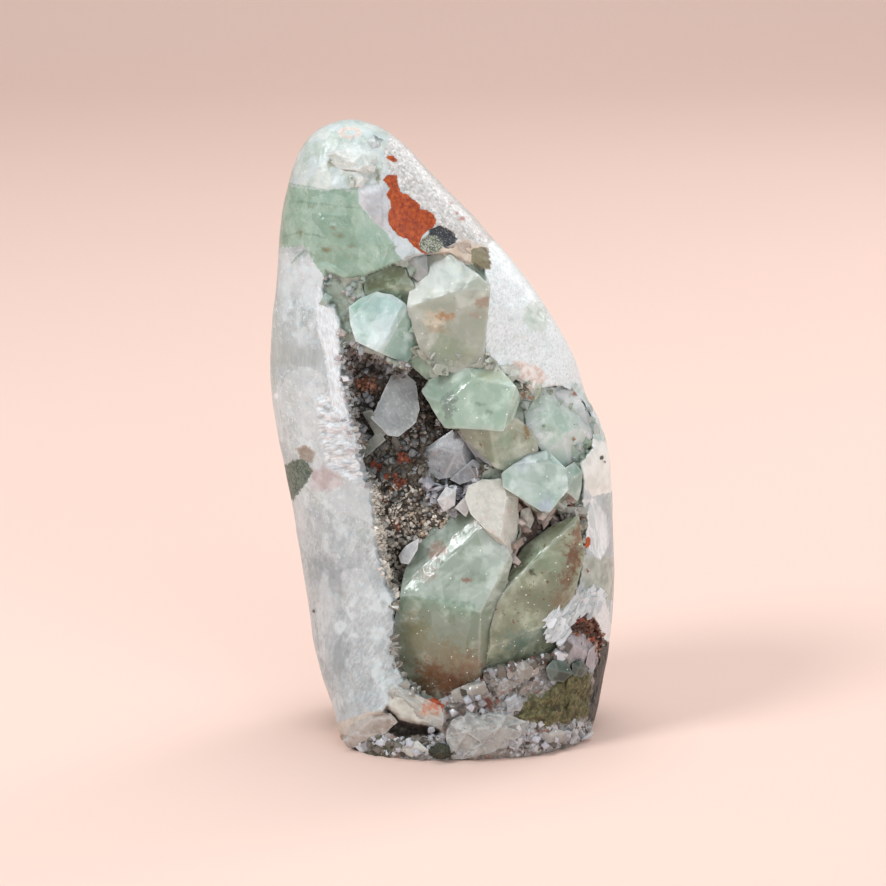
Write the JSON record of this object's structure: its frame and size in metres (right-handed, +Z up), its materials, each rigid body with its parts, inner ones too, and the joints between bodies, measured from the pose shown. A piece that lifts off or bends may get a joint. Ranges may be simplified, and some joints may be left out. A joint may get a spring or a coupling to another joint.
{
  "type": "zeolite specimen",
  "caption": "Freestanding mineral specimen with a flat foot, polished stone sides and a rough front pocket lined with pale green and white translucent crystals.",
  "frame": {"origin": "on the flat foot, the point that stands on the surface, under the middle of the specimen's width", "axes": "+Z up from the flat foot to the crown, crystal pocket faces -Y, +X to the right when looking at the pocket"},
  "size_m": [0.0759, 0.0542, 0.1366],
  "materials": {
    "matrix": "polished and part natural",
    "apophyllite_large": "glossy",
    "apophyllite_middle": "glossy",
    "apophyllite_pale": "glossy",
    "apophyllite_milky": "glossy",
    "apophyllite_kite": "glossy",
    "apophyllite_lower_right": "glossy",
    "apophyllite_deep_green": "glossy",
    "apophyllite_olive": "glossy",
    "apophyllite_right_mass": "frosted",
    "stilbite_column": "satin",
    "stilbite_ball": "satin",
    "stilbite_blade": "satin",
    "stilbite_plates": "satin",
    "stilbite_chip": "satin",
    "stilbite_chunk": "satin",
    "heulandite_lump": "rough",
    "chalcedony_lump": "rough",
    "celadonite_ball": "rough"
  },
  "bodies": {
    "root": {"matrix": "matrix", "apophyllite_large": "apophyllite_large", "apophyllite_middle": "apophyllite_middle", "apophyllite_pale": "apophyllite_pale", "apophyllite_milky": "apophyllite_milky", "apophyllite_kite": "apophyllite_kite", "apophyllite_lower_right": "apophyllite_lower_right", "apophyllite_deep_green": "apophyllite_deep_green", "apophyllite_olive": "apophyllite_olive", "apophyllite_right_mass": "apophyllite_right_mass", "stilbite_column": "stilbite_column", "stilbite_ball": "stilbite_ball", "stilbite_blade": "stilbite_blade", "stilbite_plates": "stilbite_plates", "stilbite_chip": "stilbite_chip", "stilbite_chunk": "stilbite_chunk", "heulandite_lump": "heulandite_lump", "chalcedony_lump": "chalcedony_lump", "celadonite_ball": "celadonite_ball"}
  },
  "joints": []
}
